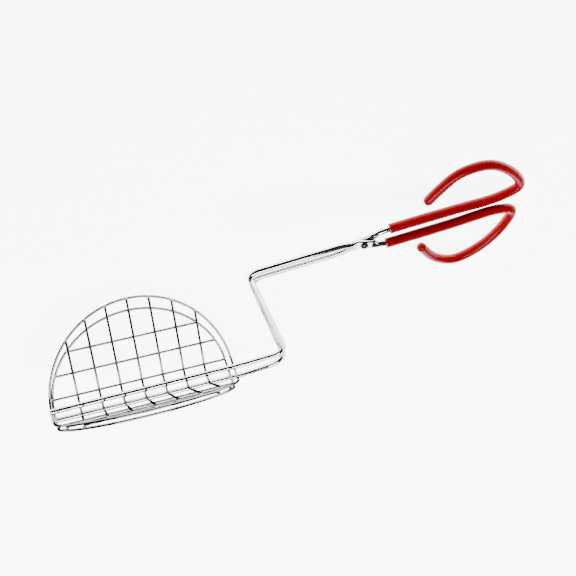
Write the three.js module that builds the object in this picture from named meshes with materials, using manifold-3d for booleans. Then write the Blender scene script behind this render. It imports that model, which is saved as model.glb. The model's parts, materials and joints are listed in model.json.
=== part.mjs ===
// Scissor-action taco shell tongs: two nested folded wire forms on crossed cranked rods.
// The tool is drawn in its own frame (x along the fold towards the handles, y across the
// two wings, z out of the fold) and is then laid down the way it rests on a table.
import * as THREE from 'three'
import { mergeVertices } from 'three/addons/utils/BufferGeometryUtils.js'
import Module from 'manifold-3d'

const wasm = await Module()
wasm.setup()

const GAP = 0.3                        // air left between two pieces that touch

// Rods and wires
const rodD = 5.4
const rimWireD = 2.6
const ribWireD = 2.4
const stringerWireD = 2.4

// Folded wire forms
const wingHalfAngle = THREE.MathUtils.degToRad(35.5)
const foldRadius = 18.4                // inner rim's wire centre, round the fold
const innerRim = { halfLength: 90, halfWidth: 98, shift: 0 }
const outerRim = { halfLength: 86.3, halfWidth: 84.5, shift: -1.3 }
const ribCount = 7
const ribPitch = 20.67
const ribShift = -0.9
const stringerFirst = 13.9             // from the fold line, measured along the wing
const stringerPitch = 22

// Cranked arms, as corner points of the rod in the scissor plane
const armJog = rodD / 2 + 0.25         // each arm lies this far to its own side of the plane
const pivot = new THREE.Vector2(203.4, 173.7)
const rivetShankD = 4.4
const rivetHeadD = 6.6
const rivetHeadRise = 2
const lugThick = 3
const lugWide = 9.6
const lugFlat = 7                      // half the length of the flattened part of a rod
const lugTaper = 9
const foldStraight = 95                // the rods run on the middle plane up to here
const jogLength = 22

// Vinyl grips
const gripD = 9.4
const gripClear = 1.2                  // air between the two grips where they run closest
const gripBore = rodD + 2 * GAP
const gripTipRoom = 7                  // vinyl past the end of the rod inside it

const profileCentreZ = foldRadius / Math.sin(wingHalfAngle)
const arcHalf = Math.PI / 2 - wingHalfAngle
const outerLoopRise = gripD + gripClear   // outer loop above the inner one, along the scissor plane
const ribLift = (rimWireD + ribWireD) / 2 + GAP
const stringerLift = -(rimWireD + stringerWireD) / 2 - GAP
const outerRimLift = 2 * stringerLift
const innerRodZ = profileCentreZ - foldRadius + ribLift + (ribWireD + rodD) / 2 + GAP
const outerRodZ = profileCentreZ - foldRadius + outerRimLift - (rimWireD + rodD) / 2 - GAP

const chrome = new THREE.MeshStandardMaterial({ color: 0xd9dcdf, metalness: 1, roughness: 0.08 })
const vinyl = new THREE.MeshStandardMaterial({ color: 0xb3000b, metalness: 0, roughness: 0.22 })

// A point on a folded surface: x along the fold, along = distance from the fold line up a
// wing, lift = height above the inner rim's surface on the inside of the fold.
function foldPoint (x, along, lift) {
  const side = Math.sign(along) || 1
  const radius = foldRadius - lift
  const arcLength = foldRadius * arcHalf
  const reach = Math.min(Math.abs(along), arcLength)
  const turn = reach / foldRadius
  const straight = Math.abs(along) - reach
  const y = radius * Math.sin(turn) + straight * Math.sin(wingHalfAngle)
  const z = profileCentreZ - radius * Math.cos(turn) + straight * Math.cos(wingHalfAngle)
  return new THREE.Vector3(x, side * y, z)
}

function foldNormal (along) {
  const turn = Math.min(Math.abs(along) / foldRadius, arcHalf)
  return new THREE.Vector3(0, -Math.sign(along) * Math.sin(turn), Math.cos(turn))
}

// A closed skin over rings of points: round, or squared off where a rod is flattened.
function sweep (centres, { closed = false, hint, section, sides }) {
  const count = centres.length
  const vertices = []
  const faces = []
  for (let i = 0; i < count; i++) {
    const before = centres[closed ? (i + count - 1) % count : Math.max(i - 1, 0)]
    const after = centres[closed ? (i + 1) % count : Math.min(i + 1, count - 1)]
    const along = after.clone().sub(before).normalize()
    const out = hint(i).clone().addScaledVector(along, -hint(i).dot(along)).normalize()
    const across = along.clone().cross(out)
    const { wide, thick, square } = section(i)
    for (let k = 0; k < sides; k++) {
      const turn = 2 * Math.PI * (k + 0.5) / sides
      const c = Math.cos(turn)
      const s = Math.sin(turn)
      const stretch = (Math.abs(c) ** square + Math.abs(s) ** square) ** (-1 / square)
      const p = centres[i].clone()
      p.addScaledVector(across, wide * c * stretch).addScaledVector(out, thick * s * stretch)
      vertices.push(p.x, p.y, p.z)
    }
  }
  for (let i = 0; i < (closed ? count : count - 1); i++) {
    for (let k = 0; k < sides; k++) {
      const a = i * sides + k
      const b = i * sides + (k + 1) % sides
      const c = ((i + 1) % count) * sides + k
      const d = ((i + 1) % count) * sides + (k + 1) % sides
      faces.push(a, d, b, a, c, d)
    }
  }
  if (!closed) {
    for (let k = 1; k < sides - 1; k++) faces.push(0, k, k + 1)
    const last = (count - 1) * sides
    for (let k = 1; k < sides - 1; k++) faces.push(last, last + k + 1, last + k)
  }
  const geometry = new THREE.BufferGeometry()
  geometry.setAttribute('position', new THREE.Float32BufferAttribute(vertices, 3))
  geometry.setIndex(faces)
  geometry.computeVertexNormals()
  return geometry
}

function roundSection (diameter) {
  return () => ({ wide: diameter / 2, thick: diameter / 2, square: 2 })
}

function toSolid (geometry) {
  const bare = geometry.clone()
  bare.deleteAttribute('normal')
  bare.deleteAttribute('uv')
  const merged = mergeVertices(bare)
  return new wasm.Manifold(new wasm.Mesh({
    numProp: 3,
    vertProperties: new Float32Array(merged.attributes.position.array),
    triVerts: new Uint32Array(merged.index.array)
  }))
}

function toGeometry (solid) {
  const mesh = solid.getMesh()
  const geometry = new THREE.BufferGeometry()
  geometry.setAttribute('position', new THREE.Float32BufferAttribute(mesh.vertProperties, 3))
  geometry.setIndex(new THREE.Uint32BufferAttribute(mesh.triVerts, 1))
  geometry.computeVertexNormals()
  return geometry
}

function piece (name, geometry, material) {
  const mesh = new THREE.Mesh(geometry, material)
  mesh.name = name
  return mesh
}

// ---- Wire forms -------------------------------------------------------------------------

function rimPoints (rim, lift) {
  const steps = 84
  return Array.from({ length: steps }, (_, i) => {
    const turn = 2 * Math.PI * i / steps
    return foldPoint(rim.shift + rim.halfLength * Math.cos(turn), rim.halfWidth * Math.sin(turn), lift)
  })
}

function rimGeometry (rim, lift) {
  const centres = rimPoints(rim, lift)
  const hint = i => foldNormal(rim.halfWidth * Math.sin(2 * Math.PI * i / centres.length))
  return sweep(centres, { closed: true, hint, section: roundSection(rimWireD), sides: 8 })
}

function halfWidthAt (rim, x) {
  return rim.halfWidth * Math.sqrt(1 - ((x - rim.shift) / rim.halfLength) ** 2)
}

function ribGeometry (x) {
  const end = halfWidthAt(innerRim, x)
  const arcLength = foldRadius * arcHalf
  const arcSteps = 12
  const alongs = [-end]
  for (let i = 0; i <= arcSteps; i++) alongs.push(arcLength * (2 * i / arcSteps - 1))
  alongs.push(end)
  const centres = alongs.map(along => foldPoint(x, along, ribLift))
  const hint = () => new THREE.Vector3(1, 0, 0)
  return sweep(centres, { hint, section: roundSection(ribWireD), sides: 8 })
}

function stringerGeometry (along) {
  const reach = outerRim.halfLength * Math.sqrt(1 - (along / outerRim.halfWidth) ** 2)
  const centres = [-1, 1].map(end => foldPoint(outerRim.shift + end * reach, along, stringerLift))
  return sweep(centres, { hint: () => foldNormal(along), section: roundSection(stringerWireD), sides: 8 })
}

// ---- Arms -------------------------------------------------------------------------------

// Corners given as [x, z, bend radius] become a run of points with round bends.
function bentRun (corners) {
  const run = []
  corners.forEach(([x, z, radius], i) => {
    const here = new THREE.Vector2(x, z)
    if (!radius) {
      run.push(here)
      return
    }
    const back = new THREE.Vector2(...corners[i - 1]).sub(here).normalize()
    const on = new THREE.Vector2(...corners[i + 1]).sub(here).normalize()
    const half = Math.acos(back.dot(on)) / 2
    const start = here.clone().addScaledVector(back, radius / Math.tan(half))
    const middle = back.clone().add(on).normalize()
    const centre = here.clone().addScaledVector(middle, radius / Math.sin(half))
    const spin = Math.sign(back.cross(on))
    const turn = Math.PI - 2 * half
    const steps = Math.ceil(turn / 0.16)
    for (let k = 0; k <= steps; k++) {
      run.push(start.clone().rotateAround(centre, -spin * turn * k / steps))
    }
  })
  return run
}

function loopRun (points, steps) {
  const knots = points.map(([x, z]) => new THREE.Vector3(x, 0, z))
  const curve = new THREE.CatmullRomCurve3(knots, false, 'centripetal')
  return curve.getSpacedPoints(steps).map(p => new THREE.Vector2(p.x, p.z))
}

const smooth = t => THREE.MathUtils.smoothstep(t, 0, 1)

// How far a rod has been flattened at a point: 1 at the rivet, 0 where it is round again.
function flatness (point) {
  return 1 - smooth((point.distanceTo(pivot) - lugFlat) / lugTaper)
}

const innerArm = {
  side: -1,
  root: [[-91, innerRodZ, 0], [foldStraight, innerRodZ + 2, 60], [140.4, innerRodZ + 12.4, 11],
    [96.2, 168.7, 8]],
  toPivot: [[178.9, 179.2, 0], [187.8, 179, 0]],
  fromPivot: [[216.6, 171.2, 0], [224.4, 170.4, 0]],
  loop: [[241.9, 172.4], [285.1, 178], [334, 184.6], [348.2, 179.5], [345.2, 159.3], [328.6, 135.6],
    [304, 124], [281.9, 132.6], [260.2, 156.2]]
}

const outerArm = {
  side: 1,
  root: [[-90, outerRodZ, 0], [foldStraight, outerRodZ, 0], [145.8, outerRodZ - 1, 15],
    [100.6, 152.6, 9]],
  toPivot: [[178, 162.3, 0], [187.5, 164.4, 0]],
  fromPivot: [[219, 179.8, 0], [228.4, 181.9, 0]],
  loop: [[243, 173.4], [287.2, 178.7], [335, 184.8], [351.6, 194.1], [342.8, 210.2],
    [311.9, 229.4], [284.1, 225.5], [268.5, 209.9], [258.2, 195.2]
  ].map(([x, z]) => [x, z + outerLoopRise])
}

function between (from, to, steps) {
  return Array.from({ length: steps }, (_, i) => from.clone().lerp(to, (i + 1) / steps))
}

// The rod's centre line, from its free end under the fold to the end of the grip's loop.
function armLine (arm) {
  const run = bentRun([...arm.root, ...arm.toPivot.slice(0, 1)])
  const nearEnd = new THREE.Vector2(...arm.toPivot[1])
  const farStart = new THREE.Vector2(...arm.fromPivot[0])
  run.push(nearEnd, ...between(nearEnd, pivot, 8), ...between(pivot, farStart, 8))
  const gripStart = run.length
  const loop = loopRun([arm.fromPivot[1], ...arm.loop], 56)
  run.push(...loop)
  const jogFrom = new THREE.Vector2(foldStraight, 0)
  let bent = false
  const centres = run.map(p => {
    bent = bent || p.x > foldStraight + jogLength
    const jog = bent ? 1 : smooth((p.x - jogFrom.x) / jogLength)
    const flat = flatness(p)
    const y = arm.side * THREE.MathUtils.lerp(jog * armJog, (lugThick + GAP) / 2, flat)
    return new THREE.Vector3(p.x, y, p.y)
  })
  return { centres, gripStart }
}

function rodSection (centres) {
  return i => {
    const flat = flatness(new THREE.Vector2(centres[i].x, centres[i].z))
    return {
      wide: THREE.MathUtils.lerp(rodD, lugWide, flat) / 2,
      thick: THREE.MathUtils.lerp(rodD, lugThick, flat) / 2,
      square: 2 + 4 * flat
    }
  }
}

const acrossTool = () => new THREE.Vector3(0, 1, 0)

function trimEnd (centres, length) {
  const kept = centres.slice()
  let left = length
  while (kept.length > 2 && kept.at(-1).distanceTo(kept.at(-2)) < left) {
    left -= kept.at(-1).distanceTo(kept.at(-2))
    kept.pop()
  }
  const end = kept.at(-1)
  end.copy(end.clone().lerp(kept.at(-2), left / end.distanceTo(kept.at(-2))))
  return kept
}

// The rivet's axis is y, the way a cylinder and a lathed profile already stand.
function armGeometry (arm) {
  const { centres } = armLine(arm)
  const rod = trimEnd(centres.map(p => p.clone()), gripTipRoom)
  const solid = toSolid(sweep(rod, { hint: acrossTool, section: rodSection(rod), sides: 12 }))
  const hole = new THREE.CylinderGeometry(rivetShankD / 2 + GAP, rivetShankD / 2 + GAP, 20, 24)
  hole.translate(pivot.x, 0, pivot.y)
  return toGeometry(solid.subtract(toSolid(hole)))
}

function gripGeometry (arm) {
  const { centres, gripStart } = armLine(arm)
  const line = centres.slice(gripStart)
  const bore = trimEnd(line.map(p => p.clone()), gripTipRoom - GAP)
  bore.unshift(bore[0].clone().sub(bore[1]).normalize().multiplyScalar(3).add(bore[0]))
  const rounding = 4
  const end = trimEnd(line.map(p => p.clone()), gripD / 2)
  const heading = line.at(-1).clone().sub(end.at(-1)).normalize()
  const domeFrom = end.length
  for (let i = 1; i <= rounding; i++) {
    const turn = Math.PI / 2 * i / (rounding + 0.6)
    end.push(end[domeFrom - 1].clone().addScaledVector(heading, gripD / 2 * Math.sin(turn)))
  }
  const section = i => {
    const turn = Math.PI / 2 * Math.max(i - domeFrom + 1, 0) / (rounding + 0.6)
    return { wide: gripD / 2 * Math.cos(turn), thick: gripD / 2 * Math.cos(turn), square: 2 }
  }
  const skin = toSolid(sweep(end, { hint: acrossTool, section, sides: 12 }))
  const core = toSolid(sweep(bore, { hint: acrossTool, section: roundSection(gripBore), sides: 12 }))
  return toGeometry(skin.subtract(core))
}

function rivetGeometry () {
  const face = lugThick + GAP / 2 + GAP
  const profile = [new THREE.Vector2(0, -face - rivetHeadRise)]
  const steps = 5
  for (let i = 1; i <= steps; i++) {
    const turn = Math.PI / 2 * i / steps
    profile.push(new THREE.Vector2(rivetHeadD / 2 * Math.sin(turn),
      -face - 0.4 - (rivetHeadRise - 0.4) * Math.cos(turn)))
  }
  profile.push(new THREE.Vector2(rivetHeadD / 2, -face), new THREE.Vector2(rivetShankD / 2, -face))
  const mirrored = profile.slice().reverse().map(p => new THREE.Vector2(p.x, -p.y))
  const lathe = new THREE.LatheGeometry([...profile, ...mirrored], 24)
  return lathe.translate(pivot.x, 0, pivot.y)
}

// ---- Put together -----------------------------------------------------------------------

const tool = new THREE.Group()
tool.add(piece('outer_arm', armGeometry(outerArm), chrome))
tool.add(piece('inner_arm', armGeometry(innerArm), chrome))
tool.add(piece('outer_grip', gripGeometry(outerArm), vinyl))
tool.add(piece('inner_grip', gripGeometry(innerArm), vinyl))
tool.add(piece('pivot_rivet', rivetGeometry(), chrome))
tool.add(piece('inner_rim', rimGeometry(innerRim, 0), chrome))
tool.add(piece('outer_rim', rimGeometry(outerRim, outerRimLift), chrome))
for (let i = 0; i < ribCount; i++) {
  const x = ribShift + (i - (ribCount - 1) / 2) * ribPitch
  tool.add(piece(`inner_rib_${i + 1}`, ribGeometry(x), chrome))
}
for (const [wing, side] of [['front', -1], ['rear', 1]]) {
  for (let i = 0; i < 3; i++) {
    const along = side * (stringerFirst + i * stringerPitch)
    tool.add(piece(`outer_stringer_${wing}_${i + 1}`, stringerGeometry(along), chrome))
  }
}

// The tool lies on three places: the inner grip's loop, the bend of the outer rod and the
// rear side of the rims. The table's upward direction is square to the plane through them.
function tableUp () {
  const innerLine = armLine(innerArm)
  const outerLine = armLine(outerArm)
  const rests = [
    { points: innerLine.centres.slice(innerLine.gripStart), radius: gripD / 2 },
    { points: outerLine.centres.filter(p => p.z < 40 && p.x > 0), radius: rodD / 2 },
    { points: [...rimPoints(innerRim, 0), ...rimPoints(outerRim, outerRimLift)].filter(p => p.y > 20),
      radius: rimWireD / 2 }
  ]
  const up = new THREE.Vector3(-0.26, -0.86, 0.44).normalize()
  for (let pass = 0; pass < 12; pass++) {
    const feet = rests.map(({ points, radius }) => {
      const lowest = points.reduce((a, b) => (b.dot(up) < a.dot(up) ? b : a))
      return lowest.clone().addScaledVector(up, -radius)
    })
    up.crossVectors(feet[0].clone().sub(feet[1]), feet[2].clone().sub(feet[1])).normalize()
    if (up.y > 0) up.negate()
  }
  return up
}

const up = tableUp()
const forward = new THREE.Vector3(1, 0, 0).addScaledVector(up, -up.x).normalize()
const sideways = up.clone().cross(forward)
tool.quaternion.setFromRotationMatrix(new THREE.Matrix4().makeBasis(forward, sideways, up).invert())

const tacoTongs = new THREE.Group()
tacoTongs.add(tool)
tacoTongs.updateMatrixWorld(true)
const box = new THREE.Box3().setFromObject(tacoTongs, true)
tool.position.set(-(box.min.x + box.max.x) / 2, -(box.min.y + box.max.y) / 2, -box.min.z)
tacoTongs.updateMatrixWorld(true)

export default tacoTongs
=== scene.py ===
import json
import math

import bpy
import numpy as np
from mathutils import Matrix, Vector


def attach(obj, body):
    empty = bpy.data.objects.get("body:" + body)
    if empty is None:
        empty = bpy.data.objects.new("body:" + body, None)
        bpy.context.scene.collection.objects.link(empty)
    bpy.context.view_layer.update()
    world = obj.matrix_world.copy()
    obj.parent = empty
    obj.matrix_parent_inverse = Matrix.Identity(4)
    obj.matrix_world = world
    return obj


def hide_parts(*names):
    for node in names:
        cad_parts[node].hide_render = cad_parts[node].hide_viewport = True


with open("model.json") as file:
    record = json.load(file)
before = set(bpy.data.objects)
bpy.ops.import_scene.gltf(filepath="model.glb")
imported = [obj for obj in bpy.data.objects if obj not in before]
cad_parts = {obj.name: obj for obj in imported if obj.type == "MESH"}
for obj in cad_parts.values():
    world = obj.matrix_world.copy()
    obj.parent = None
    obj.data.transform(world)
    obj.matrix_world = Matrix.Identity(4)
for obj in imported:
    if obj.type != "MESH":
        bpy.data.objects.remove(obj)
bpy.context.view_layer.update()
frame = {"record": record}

# ---- Inner wire form ------------------------------------------------------------------
# An oval ring of drawn steel wire folded in half like a tortilla, with seven V-shaped
# ribs spot-welded across its inside. Everything is bright chrome plated after welding.

# Sizes are in millimetres in the tool's own frame: x runs along the fold towards the
# handles, y across the two wings, z out of the fold.
record = frame["record"]
hinge = record["behaviour"]["joints"][0]
end_face = record["mounts"][0]
tool_y = Vector(hinge["axis"]).normalized()
tool_x = -Vector(end_face["axis"]).normalized()
tool_z = tool_x.cross(tool_y)
pivot_x, pivot_z = 203.4, 173.7
tool_origin = Vector(hinge["pos_m"]) - (tool_x * pivot_x + tool_z * pivot_z) / 1000
tool_basis = np.array([tool_x, tool_y, tool_z])

wing_half_angle = math.radians(35.5)
fold_radius = 18.4
fold_centre_z = fold_radius / math.sin(wing_half_angle)
arc_half = math.pi / 2 - wing_half_angle
gap = 0.3
rim_wire = 2.6
rib_wire = 2.4
rib_lift = (rim_wire + rib_wire) / 2 + gap
inner_length, inner_width = 90, 98
rib_count, rib_pitch, rib_shift = 7, 20.67, -0.9
weld_inset = 0.8                       # a weld sits this far in from the end of its wire
weld_size = (1.9, 1.25, 1.3)           # half its length, width and height
weld_run = 5                           # it lies along the last 5 mm of its wire


def to_world(points):
    return np.array(points, float) @ tool_basis / 1000 + np.array(tool_origin)


def fold_point(x, along, lift):
    side = 1 if along >= 0 else -1
    radius = fold_radius - lift
    reach = min(abs(along), fold_radius * arc_half)
    turn = reach / fold_radius
    straight = abs(along) - reach
    y = radius * math.sin(turn) + straight * math.sin(wing_half_angle)
    z = fold_centre_z - radius * math.cos(turn) + straight * math.cos(wing_half_angle)
    return np.array([x, side * y, z])


def fold_normal(along):
    turn = min(abs(along) / fold_radius, arc_half)
    side = 1 if along >= 0 else -1
    return np.array([0, -side * math.sin(turn), math.cos(turn)])


def unit(vector):
    return vector / np.linalg.norm(vector)


def add_mesh(name, points, faces, material):
    mesh = bpy.data.meshes.new(name)
    mesh.from_pydata(to_world(points).tolist(), [], faces)
    mesh.shade_smooth()
    mesh.materials.append(material)
    made = bpy.data.objects.new(name, mesh)
    bpy.context.collection.objects.link(made)
    return made


# A skin round a line of points. section(i) gives half width, half thickness and how
# square the section is; open ends are closed with a flat cap.
def sweep(name, centres, section, hint, material, sides=20, closed=False):
    centres = [np.array(c, float) for c in centres]
    count = len(centres)
    points, faces = [], []
    for i, centre in enumerate(centres):
        before = centres[i - 1] if closed or i else centres[i]
        after = centres[(i + 1) % count] if closed or i < count - 1 else centres[i]
        along = unit(after - before)
        out = unit(hint(i) - along * hint(i).dot(along))
        across = np.cross(along, out)
        wide, thick, square = section(i)
        for k in range(sides):
            c = math.cos(2 * math.pi * k / sides)
            s = math.sin(2 * math.pi * k / sides)
            stretch = (abs(c) ** square + abs(s) ** square) ** (-1 / square)
            points.append(centre + across * wide * c * stretch + out * thick * s * stretch)
    for i in range(count if closed else count - 1):
        for k in range(sides):
            right = (k + 1) % sides
            below = (i + 1) % count * sides
            faces.append((i * sides + k, i * sides + right, below + right, below + k))
    if not closed:
        faces.append(tuple(reversed(range(sides))))
        faces.append(tuple(range((count - 1) * sides, count * sides)))
    return add_mesh(name, points, faces, material)


def round_wire(diameter):
    return lambda i: (diameter / 2, diameter / 2, 2)


# The plating rounds a cut end over slightly, so the wire narrows over its last bit.
def eased(centres, diameter):
    ease = diameter * 0.12
    first = unit(centres[1] - centres[0])
    last = unit(centres[-2] - centres[-1])
    line = [centres[0], centres[0] + first * ease * 0.4, centres[0] + first * ease]
    line += list(centres[1:-1])
    line += [centres[-1] + last * ease, centres[-1] + last * ease * 0.4, centres[-1]]
    edge = {0: 0.86, 1: 0.95, len(line) - 1: 0.86, len(line) - 2: 0.95}

    def section(i):
        half = diameter / 2 * edge.get(i, 1)
        return half, half, 2

    return line, section


def shader(name):
    material = bpy.data.materials.new(name)
    material.use_nodes = True
    nodes, links = material.node_tree.nodes, material.node_tree.links
    return material, nodes, links, nodes["Principled BSDF"]


def noise(nodes, links, scale, detail):
    where = nodes.new("ShaderNodeTexCoord")
    texture = nodes.new("ShaderNodeTexNoise")
    texture.inputs["Scale"].default_value = scale
    texture.inputs["Detail"].default_value = detail
    links.new(where.outputs["Object"], texture.inputs["Vector"])
    return texture.outputs["Fac"]


def ramp(nodes, links, value, low, high, colours):
    made = nodes.new("ShaderNodeValToRGB")
    made.color_ramp.elements[0].position = low
    made.color_ramp.elements[1].position = high
    made.color_ramp.elements[0].color = (*colours[0], 1)
    made.color_ramp.elements[1].color = (*colours[1], 1)
    links.new(value, made.inputs["Fac"])
    return made.outputs["Color"]


def remap(nodes, links, value, low, high):
    made = nodes.new("ShaderNodeMapRange")
    made.inputs["From Min"].default_value = 0.3
    made.inputs["From Max"].default_value = 0.7
    made.inputs["To Min"].default_value = low
    made.inputs["To Max"].default_value = high
    links.new(value, made.inputs["Value"])
    return made.outputs["Result"]


def bump(nodes, links, bsdf, value, strength, distance):
    made = nodes.new("ShaderNodeBump")
    made.inputs["Strength"].default_value = strength
    made.inputs["Distance"].default_value = distance
    links.new(value, made.inputs["Height"])
    links.new(made.outputs["Normal"], bsdf.inputs["Normal"])


# Chrome plate: a little cloudy in patches, with the faint grain of the drawn wire showing
# through. The base given for the wires is painted darker than real chrome and the edge tint is
# black: painted shade and painted dark reflection, so that thin wires stay dark against a bright
# floor.
def chrome_plate(name, bright, dull, low_rough, high_rough, grain):
    material, nodes, links, bsdf = shader(name)
    bsdf.inputs["Metallic"].default_value = 1
    # Black edge tint: painted dark reflection along every grazing edge of the chrome.
    bsdf.inputs["Specular Tint"].default_value = (0.02, 0.02, 0.02, 1)
    patches = noise(nodes, links, 55, 4)
    links.new(ramp(nodes, links, patches, 0.35, 0.65, (dull, bright)), bsdf.inputs["Base Color"])
    cloud = noise(nodes, links, 140, 5)
    links.new(remap(nodes, links, cloud, low_rough, high_rough), bsdf.inputs["Roughness"])
    fine = noise(nodes, links, 900, 4)
    bump(nodes, links, bsdf, fine, grain, 0.0002)
    return material


# Same plating as the rods, with the base painted dark: painted shade standing in for the dark
# reflections of thin wires.
wire_chrome = chrome_plate(
    "wire_chrome", (0.22, 0.22, 0.23), (0.14, 0.14, 0.15), 0.08, 0.18, 0.08
)


def ring_points(length, width, shift, lift, steps=240):
    turns = [2 * math.pi * i / steps for i in range(steps)]
    return [fold_point(shift + length * math.cos(t), width * math.sin(t), lift) for t in turns]


def ring(name, length, width, shift, lift):
    centres = ring_points(length, width, shift, lift)
    count = len(centres)
    return sweep(
        name, centres, round_wire(rim_wire),
        lambda i: fold_normal(width * math.sin(2 * math.pi * i / count)),
        wire_chrome, 18, closed=True,
    )


inner_ring = ring("inner_ring", inner_length, inner_width, 0, 0)
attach(inner_ring, "inner_half")
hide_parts("inner_rim")


# A spot weld: the two wires are pressed into each other and a small fillet of metal
# stands between them.
def weld(name, centre, long_way, up_way, size, body):
    long_way = unit(long_way)
    up_way = unit(up_way - long_way * up_way.dot(long_way))
    cross_way = np.cross(long_way, up_way)
    rings, sides = 8, 14
    points, faces = [], []
    for i in range(rings + 1):
        tilt = math.pi * i / rings
        for k in range(sides):
            turn = 2 * math.pi * k / sides
            ripple = 1 + 0.08 * math.sin(3 * turn + 7 * centre[0]) * math.sin(tilt)
            points.append(
                centre
                + long_way * size[0] * math.cos(tilt)
                + cross_way * size[1] * math.sin(tilt) * math.cos(turn) * ripple
                + up_way * size[2] * math.sin(tilt) * math.sin(turn) * ripple
            )
    for i in range(rings):
        for k in range(sides):
            right = (k + 1) % sides
            a, b = i * sides, (i + 1) * sides
            faces.append((a + k, a + right, b + right, b + k))
    made = add_mesh(name, points, faces, weld_chrome)
    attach(made, body)


weld_chrome = chrome_plate(
    "weld_chrome", (0.66, 0.66, 0.68), (0.40, 0.40, 0.42), 0.2, 0.38, 0.3
)

along_x = np.array([1.0, 0, 0])
for i in range(rib_count):
    x = rib_shift + (i - (rib_count - 1) / 2) * rib_pitch
    end = inner_width * math.sqrt(1 - (x / inner_length) ** 2)
    bend = fold_radius * arc_half
    alongs = [-end, *np.linspace(-bend, bend, 41), end]
    line, section = eased([fold_point(x, a, rib_lift) for a in alongs], rib_wire)
    rib = sweep(f"rib_{i + 1}", line, section, lambda i: along_x, wire_chrome, 16)
    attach(rib, "inner_half")
    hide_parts(f"inner_rib_{i + 1}")
    for side in (-1, 1):
        spot = fold_point(x, side * (end - weld_inset), rib_lift / 2)
        normal = fold_normal(side * end)
        run = fold_point(x, side * end, 0) - fold_point(x, side * (end - weld_run), 0)
        weld(f"rib_weld_{i + 1}_{'rear' if side > 0 else 'front'}", spot, run, normal,
             weld_size, "inner_half")

# ---- Outer wire form ------------------------------------------------------------------
# A second, smaller folded ring under the first, of the same wire, with three straight
# stringers welded to the inside of each wing.
outer_length, outer_width, outer_shift = 86.3, 84.5, -1.3
stringer_wire = 2.4
stringer_first, stringer_pitch = 13.9, 22
stringer_lift = -(rim_wire + stringer_wire) / 2 - gap
outer_lift = 2 * stringer_lift

outer_ring = ring("outer_ring", outer_length, outer_width, outer_shift, outer_lift)
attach(outer_ring, "outer_half")
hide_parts("outer_rim")

for wing, side in (("front", -1), ("rear", 1)):
    for i in range(3):
        along = side * (stringer_first + i * stringer_pitch)
        reach = outer_length * math.sqrt(1 - (along / outer_width) ** 2)
        ends = [fold_point(outer_shift + e * reach, along, stringer_lift) for e in (-1, 1)]
        line, section = eased(
            [ends[0] + (ends[1] - ends[0]) * t for t in np.linspace(0, 1, 30)], stringer_wire
        )
        normal = fold_normal(along)
        stringer = sweep(
            f"stringer_{wing}_{i + 1}", line, section, lambda i: normal, wire_chrome, 16
        )
        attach(stringer, "outer_half")
        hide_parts(f"outer_stringer_{wing}_{i + 1}")
        for end, spot_x in (("near", reach - weld_inset), ("far", weld_inset - reach)):
            spot = fold_point(outer_shift + spot_x, along, (stringer_lift + outer_lift) / 2)
            weld(f"stringer_weld_{wing}_{i + 1}_{end}", spot, along_x, normal,
                 weld_size, "outer_half")

# ---- Cranked arms ---------------------------------------------------------------------
# Two round rods, 5.4 mm thick, welded along the bottom of the two forms, bent up in a
# crank, hammered flat where they cross at the rivet, and bent into open finger loops.
rod = 5.4
inner_rod_z = fold_centre_z - fold_radius + rib_lift + (rib_wire + rod) / 2 + gap
outer_rod_z = fold_centre_z - fold_radius + outer_lift - (rim_wire + rod) / 2 - gap
fold_straight, jog_length = 95, 22
inner_rod_start = -91
inner_rod_rise = 2                     # the inner rod climbs this much along the fold
arm_clear = 0.5                        # air between the two rods where they pass
arm_jog = (rod + arm_clear) / 2
lug_thick, lug_wide, lug_flat, lug_taper = 3, 9.6, 7, 9
grip_tip_room = 7                      # the rod stops this far before the vinyl's end
rod_weld_size = (2.2, 2, 1.7)
end_weld_size, end_weld_inset, end_weld_rise = (2.4, 2, 1.6), 0.6, 0.7
pivot = np.array([pivot_x, pivot_z])

inner_arm = {
    "side": -1,
    "root": [(inner_rod_start, inner_rod_z, 0),
             (fold_straight, inner_rod_z + inner_rod_rise, 60),
             (140.4, inner_rod_z + 12.4, 11), (96.2, 168.7, 8)],
    "to_pivot": [(178.9, 179.2, 0), (187.8, 179)],
    "from_pivot": [(216.6, 171.2), (224.4, 170.4)],
    "loop": [(241.9, 172.4), (285.1, 178), (334, 184.6), (348.2, 179.5), (345.2, 159.3),
             (328.6, 135.6), (304, 124), (281.9, 132.6), (260.2, 156.2)],
}
outer_arm = {
    "side": 1,
    "root": [(-90, outer_rod_z, 0), (fold_straight, outer_rod_z, 0),
             (145.8, outer_rod_z - 1, 15), (100.6, 152.6, 9)],
    "to_pivot": [(178, 162.3, 0), (187.5, 164.4)],
    "from_pivot": [(219, 179.8), (228.4, 181.9)],
    "loop": [(243, 184), (287.2, 189.3), (335, 195.4), (351.6, 204.7), (342.8, 220.8),
             (311.9, 240), (284.1, 236.1), (268.5, 220.5), (258.2, 205.8)],
}


def bent_run(corners):
    run = []
    for i, (x, z, radius) in enumerate(corners):
        here = np.array([x, z], float)
        if not radius:
            run.append(here)
            continue
        back = unit(np.array(corners[i - 1][:2]) - here)
        on = unit(np.array(corners[i + 1][:2]) - here)
        half = math.acos(back.dot(on)) / 2
        start = here + back * radius / math.tan(half)
        centre = here + unit(back + on) * radius / math.sin(half)
        spin = -math.copysign(1, back[0] * on[1] - back[1] * on[0])
        turn = math.pi - 2 * half
        steps = math.ceil(turn / 0.05)
        for k in range(steps + 1):
            c, s = math.cos(spin * turn * k / steps), math.sin(spin * turn * k / steps)
            arm = start - centre
            run.append(centre + np.array([arm[0] * c - arm[1] * s, arm[0] * s + arm[1] * c]))
    return run


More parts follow.
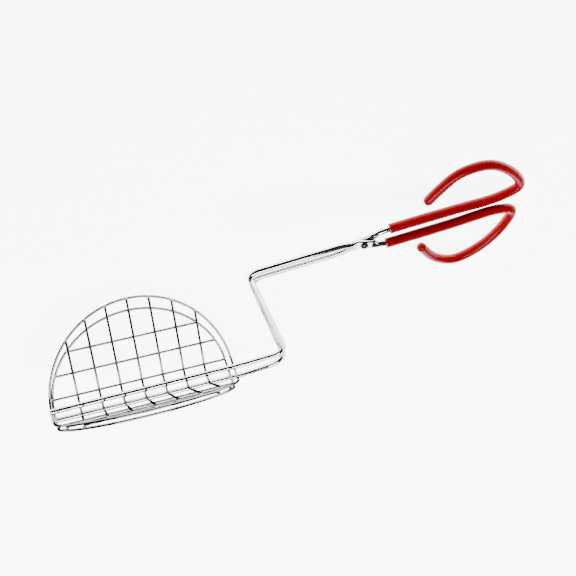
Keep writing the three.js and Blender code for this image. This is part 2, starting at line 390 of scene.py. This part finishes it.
# A centripetal spline through the knots, resampled at even spacing.
def spline(knots, steps):
    knots = [np.array(k, float) for k in knots]
    padded = [2 * knots[0] - knots[1], *knots, 2 * knots[-1] - knots[-2]]
    fine = []
    for i in range(len(knots) - 1):
        p0, p1, p2, p3 = padded[i:i + 4]
        d0, d1, d2 = (np.linalg.norm(b - a) ** 0.5 for a, b in ((p0, p1), (p1, p2), (p2, p3)))
        m1 = ((p1 - p0) / d0 - (p2 - p0) / (d0 + d1) + (p2 - p1) / d1) * d1
        m2 = ((p2 - p1) / d1 - (p3 - p1) / (d1 + d2) + (p3 - p2) / d2) * d1
        for t in np.linspace(0, 1, 40, endpoint=False):
            fine.append(
                p1 + m1 * t + (3 * (p2 - p1) - 2 * m1 - m2) * t ** 2
                + (2 * (p1 - p2) + m1 + m2) * t ** 3
            )
    fine = np.array([*fine, knots[-1]])
    length = np.concatenate([[0], np.cumsum(np.linalg.norm(np.diff(fine, axis=0), axis=1))])
    even = np.linspace(0, length[-1], steps + 1)
    return [np.array([np.interp(s, length, fine[:, 0]), np.interp(s, length, fine[:, 1])])
            for s in even]


def smooth(t):
    t = min(max(t, 0), 1)
    return t * t * (3 - 2 * t)


def flatness(x, z):
    return 1 - smooth((math.hypot(x - pivot_x, z - pivot_z) - lug_flat) / lug_taper)


def arm_line(arm):
    run = bent_run([*arm["root"], arm["to_pivot"][0]])
    near, far = np.array(arm["to_pivot"][1]), np.array(arm["from_pivot"][0])
    run += [near + (pivot - near) * t for t in np.linspace(0, 1, 29)]
    run += [pivot + (far - pivot) * t for t in np.linspace(0, 1, 29)[1:]]
    grip_start = len(run)
    run += spline([arm["from_pivot"][1], *arm["loop"]], 150)
    centres, bent = [], False
    for x, z in run:
        bent = bent or x > fold_straight + jog_length
        jog = 1 if bent else smooth((x - fold_straight) / jog_length)
        flat = flatness(x, z)
        offset = arm_jog * jog * (1 - flat) + (lug_thick + gap) / 2 * flat
        centres.append(np.array([x, arm["side"] * offset, z]))
    return centres, grip_start


def trim_end(line, length):
    line = [p.copy() for p in line]
    while length > (step := np.linalg.norm(line[-1] - line[-2])):
        length -= step
        line.pop()
    line[-1] = line[-1] + unit(line[-2] - line[-1]) * length
    return line


rod_chrome = chrome_plate(
    "rod_chrome", (0.66, 0.66, 0.68), (0.56, 0.56, 0.58), 0.05, 0.12, 0.06
)
across_tool = np.array([0, 1.0, 0])
out_of_fold = np.array([0, 0, 1.0])


def arm_rod(name, arm, node, body):
    centres, _ = arm_line(arm)
    line, ends = eased(trim_end(centres, grip_tip_room), rod)

    def section(i):
        flat = flatness(line[i][0], line[i][2])
        wide = rod + (lug_wide - rod) * flat
        thick = rod + (lug_thick - rod) * flat
        scale = ends(i)[0] * 2 / rod
        return wide / 2 * scale, thick / 2 * scale, 2 + 4 * flat

    made = sweep(name, line, section, lambda i: across_tool, rod_chrome, 32)
    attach(made, body)
    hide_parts(node)


arm_rod("inner_rod", inner_arm, "inner_arm", "inner_half")
arm_rod("outer_rod", outer_arm, "outer_arm", "outer_half")

for i in range(rib_count):
    x = rib_shift + (i - (rib_count - 1) / 2) * rib_pitch
    climb = inner_rod_rise * (x - inner_rod_start) / (fold_straight - inner_rod_start)
    rod_bottom = inner_rod_z + climb - rod / 2
    rib_centre = fold_centre_z - fold_radius + rib_lift
    spot = np.array([x, 0, (rod_bottom + rib_centre) / 2])
    weld(f"rod_weld_{i + 1}", spot, along_x, out_of_fold, rod_weld_size, "inner_half")
for end, side in (("near", 1), ("far", -1)):
    spot_z = (outer_rod_z + fold_centre_z - fold_radius + outer_lift) / 2 + end_weld_rise
    spot = np.array([outer_shift + side * (outer_length - end_weld_inset), 0, spot_z])
    weld(f"outer_rod_weld_{end}", spot, across_tool, out_of_fold, end_weld_size, "outer_half")

# ---- Rivet ----------------------------------------------------------------------------
# A plated steel rivet with two low domed heads. It passes through both flattened rods
# and is tight in the outer one, so that the inner half turns on it.
rivet_shank, rivet_head, rivet_rise = 4.4, 6.6, 2
rivet_edge = 0.4                       # straight edge under each dome
dome_steps, round_steps = 12, 48
rivet_steel = chrome_plate(
    "rivet_steel", (0.07, 0.07, 0.075), (0.03, 0.03, 0.032), 0.2, 0.36, 0.2
)
face = lug_thick + gap / 2 + gap
profile = [(0.001, -face - rivet_rise)]
for i in range(1, dome_steps + 1):
    turn = math.pi / 2 * i / dome_steps
    profile.append((rivet_head / 2 * math.sin(turn),
                    -face - rivet_edge - (rivet_rise - rivet_edge) * math.cos(turn)))
profile += [(rivet_head / 2, -face), (rivet_shank / 2, -face)]
profile += [(r, -y) for r, y in reversed(profile)]
points = [
    np.array([pivot_x + r * math.cos(2 * math.pi * k / round_steps), y,
              pivot_z + r * math.sin(2 * math.pi * k / round_steps)])
    for r, y in profile for k in range(round_steps)
]
faces = [
    (i * round_steps + k, i * round_steps + (k + 1) % round_steps,
     (i + 1) * round_steps + (k + 1) % round_steps, (i + 1) * round_steps + k)
    for i in range(len(profile) - 1) for k in range(round_steps)
]
rivet = add_mesh("rivet", points, faces, rivet_steel)
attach(rivet, "outer_half")
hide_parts("pivot_rivet")

# ---- Vinyl grips ----------------------------------------------------------------------
# The finger loops are dipped in liquid vinyl that cures into a glossy, slightly uneven
# red skin about 2 mm thick. Each ends in a round drip past the rod and a blunt cut edge.
grip = 9.4
skin_wave = 0.006                      # how much the dipped skin swells and thins
drip_blunt = 0.3                       # leaves a small flat at the tip of the drip
cut_steps = (0.15, 0.5, 1.1)           # the cut edge widens over these steps
cut_narrowing = {0: 0.9, 1: 0.96, 2: 0.995}
vinyl, nodes, links, bsdf = shader("vinyl")
patches = noise(nodes, links, 30, 3)
links.new(
    ramp(nodes, links, patches, 0.3, 0.7, ((0.20, 0.0, 0.002), (0.25, 0.0, 0.004))),
    bsdf.inputs["Base Color"],
)
links.new(remap(nodes, links, noise(nodes, links, 80, 3), 0.16, 0.26), bsdf.inputs["Roughness"])
bsdf.inputs["Specular IOR Level"].default_value = 0.09
bump(nodes, links, bsdf, noise(nodes, links, 90, 2), 0.08, 0.0006)


def vinyl_grip(name, arm, node, body):
    centres, start = arm_line(arm)
    line = centres[start:]
    body_line = trim_end(line, grip / 2)
    heading = unit(line[-1] - body_line[-1])
    dome_from = len(body_line)
    tip = body_line[-1]
    for i in range(1, dome_steps + 1):
        turn = math.pi / 2 * i / (dome_steps + drip_blunt)
        body_line.append(tip + heading * grip / 2 * math.sin(turn))
    first = unit(body_line[1] - body_line[0])
    lead = [body_line[0], *(body_line[0] + first * step for step in cut_steps)]
    body_line = lead + body_line[1:]
    dome_from += len(cut_steps)

    def section(i):
        turn = math.pi / 2 * max(i - dome_from + 1, 0) / (dome_steps + drip_blunt)
        half = grip / 2 * math.cos(turn) * cut_narrowing.get(i, 1)
        half *= 1 - skin_wave * (1 + math.sin(i * 0.21)) * (turn == 0)
        return half, half, 2

    made = sweep(name, body_line, section, lambda i: across_tool, vinyl, 32)
    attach(made, body)
    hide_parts(node)


vinyl_grip("inner_grip_skin", inner_arm, "inner_grip", "inner_half")
vinyl_grip("outer_grip_skin", outer_arm, "outer_grip", "outer_half")

# ---- Floor, light and camera ----------------------------------------------------------
# A plain white sheet that glows a little, one long lamp above and a low one in front. The
# surroundings are dark, and that is what draws the edges of the chrome.
sheet, nodes, links, bsdf = shader("floor_white")
bsdf.inputs["Base Color"].default_value = (0.93, 0.93, 0.93, 1)
bsdf.inputs["Roughness"].default_value = 0.9
bsdf.inputs["Specular IOR Level"].default_value = 0.1
bsdf.inputs["Emission Color"].default_value = (1, 1, 1, 1)
bsdf.inputs["Emission Strength"].default_value = 7.5
floor_half = 0.6
mesh = bpy.data.meshes.new("floor")
mesh.from_pydata(
    [(-floor_half, -floor_half, 0), (floor_half, -floor_half, 0),
     (floor_half, floor_half, 0), (-floor_half, floor_half, 0)],
    [], [(0, 1, 2, 3)],
)
mesh.materials.append(sheet)
floor = bpy.data.objects.new("floor", mesh)
bpy.context.collection.objects.link(floor)

world = bpy.data.worlds.new("studio")
bpy.context.scene.world = world
world.use_nodes = True
world.node_tree.nodes["Background"].inputs["Color"].default_value = (0.5, 0.5, 0.5, 1)
world.node_tree.nodes["Background"].inputs["Strength"].default_value = 0.06


def softbox(name, where, aim, size, power):
    data = bpy.data.lights.new(name, "AREA")
    data.shape = "RECTANGLE"
    data.size, data.size_y = size
    data.energy = power
    made = bpy.data.objects.new(name, data)
    made.location = where
    made.rotation_euler = (Vector(aim) - Vector(where)).to_track_quat("-Z", "Y").to_euler()
    bpy.context.collection.objects.link(made)


softbox("overhead", (0, -0.45, 1.4), (0, 0, 0), (1.5, 0.55), 44)
softbox("front_fill", (0.4, -1.1, 0.22), (0.1, 0, 0.05), (0.9, 0.3), 6)

eye = np.array([-66.5, -453.8, 768.4])
picture_right = np.array([0.94447, -0.32055, 0.07235])
picture_down = np.array([-0.21196, -0.7625, -0.61129])
forward = np.array([0.25111, 0.562, -0.7881])
camera_data = bpy.data.cameras.new("camera")
camera_data.lens = 56.02
camera_data.sensor_width = 36
camera = bpy.data.objects.new("camera", camera_data)
turned = Matrix([(picture_right @ tool_basis).tolist(), (-picture_down @ tool_basis).tolist(),
                 (-forward @ tool_basis).tolist()]).transposed()
camera.matrix_world = Matrix.Translation(to_world(eye)) @ turned.to_4x4()
bpy.context.collection.objects.link(camera)
bpy.context.scene.camera = camera
